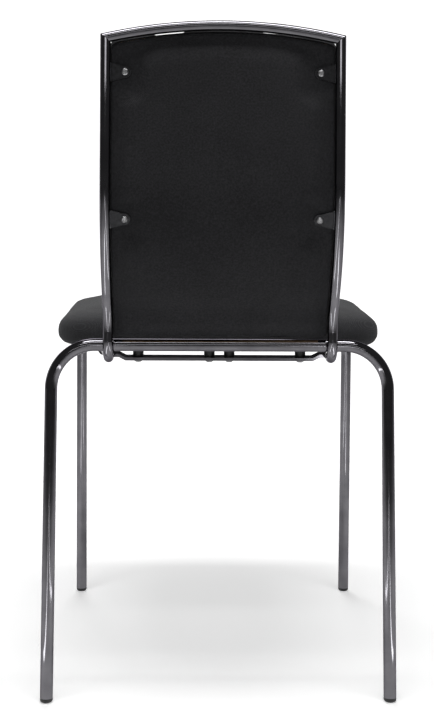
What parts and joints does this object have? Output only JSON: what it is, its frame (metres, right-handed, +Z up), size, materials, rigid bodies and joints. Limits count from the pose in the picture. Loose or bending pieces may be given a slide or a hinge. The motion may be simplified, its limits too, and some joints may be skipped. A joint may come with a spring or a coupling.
{
  "type": "choir chair",
  "caption": "Stacking choir chair: bent round-tube frame with splayed legs, high upholstered back held by corner tabs, and an upholstered seat.",
  "frame": {"origin": "on the floor, at the middle of the chair's footprint box", "axes": "+Z up, the sitter faces -Y, the sitter's left is +X"},
  "size_m": [0.444, 0.5271, 0.84],
  "materials": {
    "frame_metal": "dark polished plating",
    "tab_metal": "black satin",
    "screw_metal": "blackened zinc",
    "nut_metal": "zinc",
    "plywood": "raw birch plywood",
    "foam": "open foam",
    "cover_cloth": "black woven cloth with a soft nap",
    "underside_cloth": "thin black bonded cloth",
    "spacer_plastic": "matt black",
    "glide_plastic": "matt black"
  },
  "bodies": {
    "root": {"rear_leg_frame": "frame_metal", "front_leg_frame": "frame_metal", "left_back_rod": "frame_metal", "right_back_rod": "frame_metal", "top_bar": "frame_metal", "rear_seat_strap": "frame_metal", "front_seat_strap": "frame_metal", "upper_left_tab": "tab_metal", "upper_right_tab": "tab_metal", "lower_left_tab": "tab_metal", "lower_right_tab": "tab_metal", "back_screws": "screw_metal", "seat_screws": "screw_metal", "back_nuts": "nut_metal", "seat_nuts": "nut_metal", "back_board": "plywood", "seat_pan": "plywood", "back_front_foam": "foam", "back_rear_foam": "foam", "seat_foam": "foam", "back_front_cover": "cover_cloth", "back_rear_cover": "cover_cloth", "seat_cover": "cover_cloth", "seat_underside_cloth": "underside_cloth", "seat_spacers": "spacer_plastic", "rear_left_glide": "glide_plastic", "rear_right_glide": "glide_plastic", "front_left_glide": "glide_plastic", "front_right_glide": "glide_plastic", "stacking_bumpers": "glide_plastic"}
  },
  "joints": []
}
